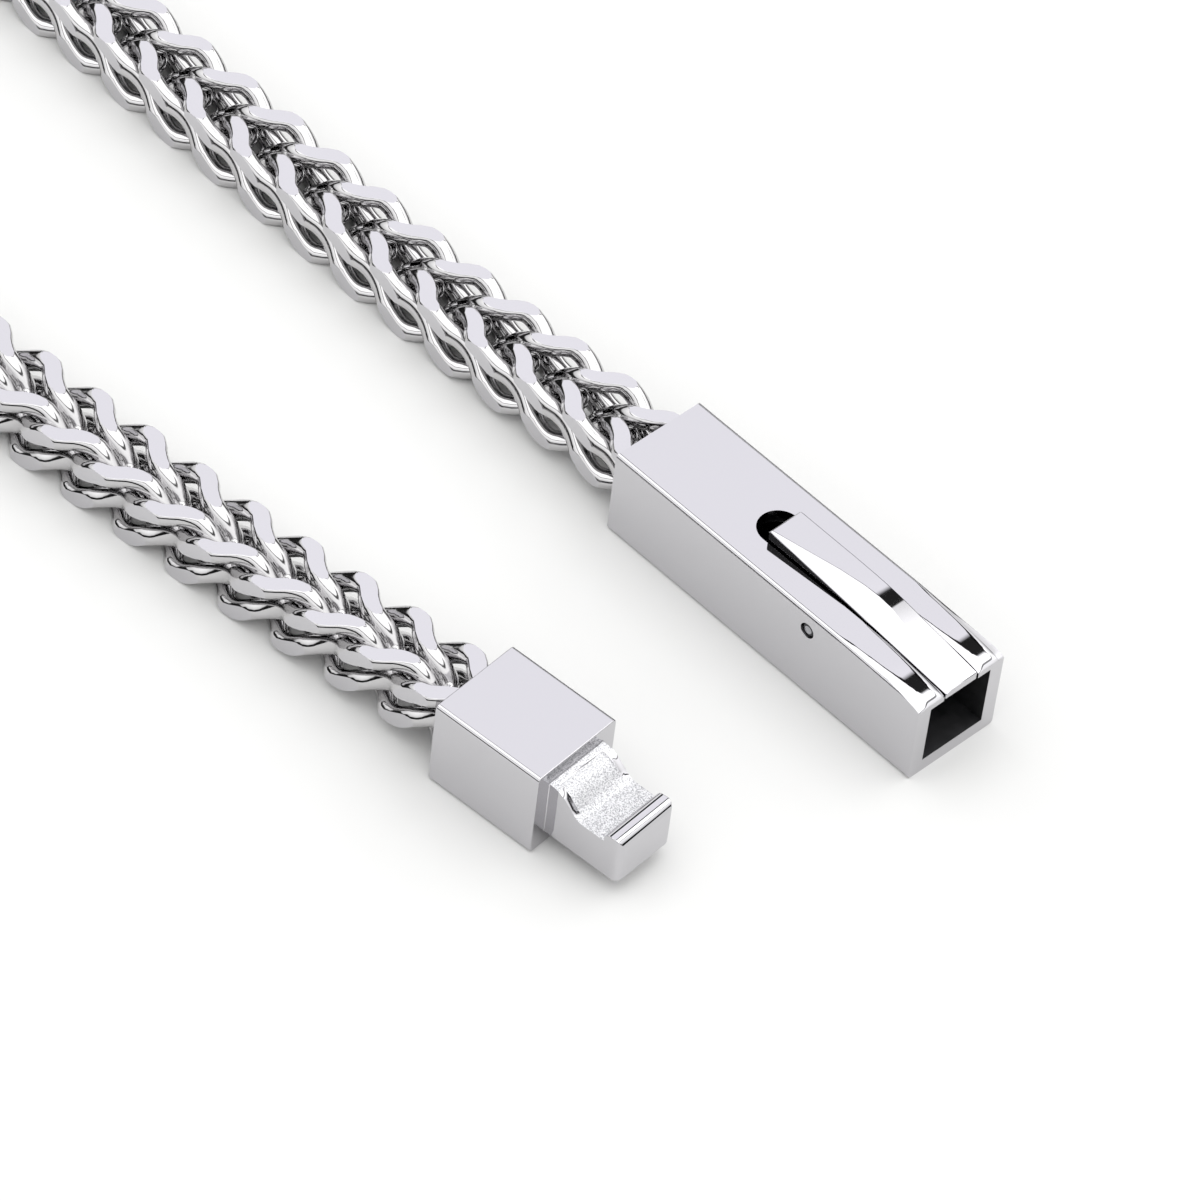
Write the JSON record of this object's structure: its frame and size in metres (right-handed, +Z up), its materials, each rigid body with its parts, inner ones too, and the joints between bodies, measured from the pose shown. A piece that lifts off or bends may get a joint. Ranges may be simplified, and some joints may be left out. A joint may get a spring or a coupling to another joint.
{
  "type": "franco chain necklace",
  "caption": "Franco neck chain of interlocked wire links, lying open, with a lever box clasp on one end and a cap with a stepped tongue on the other.",
  "frame": {"origin": "centre of the loop's footprint, on the surface that it lies on", "axes": "+X along the clasp towards its mouth, +Y from the cap's strand to the clasp's strand, +Z up"},
  "size_m": [0.2299, 0.0958, 0.0082],
  "materials": {
    "polished_steel": "mirror polished",
    "pin_steel": "turned",
    "link_steel": "polished with flat cut faces"
  },
  "bodies": {
    "root": {"clasp_box": "polished_steel", "hinge_pin": "pin_steel", "end_cap": "polished_steel", "chain_upper": "link_steel", "chain_lower": "link_steel"},
    "lever": {"lever": "polished_steel"}
  },
  "joints": [
    {"name": "lever_hinge", "type": "hinge", "parent": "root", "child": "lever", "pos_m": [0.1046, 0.01579, 0.0057], "axis": [0, -1, 0], "range_deg": [0, 8], "stiffness_Nm_per_rad": 0.005, "springref_deg": -2.86}
  ]
}
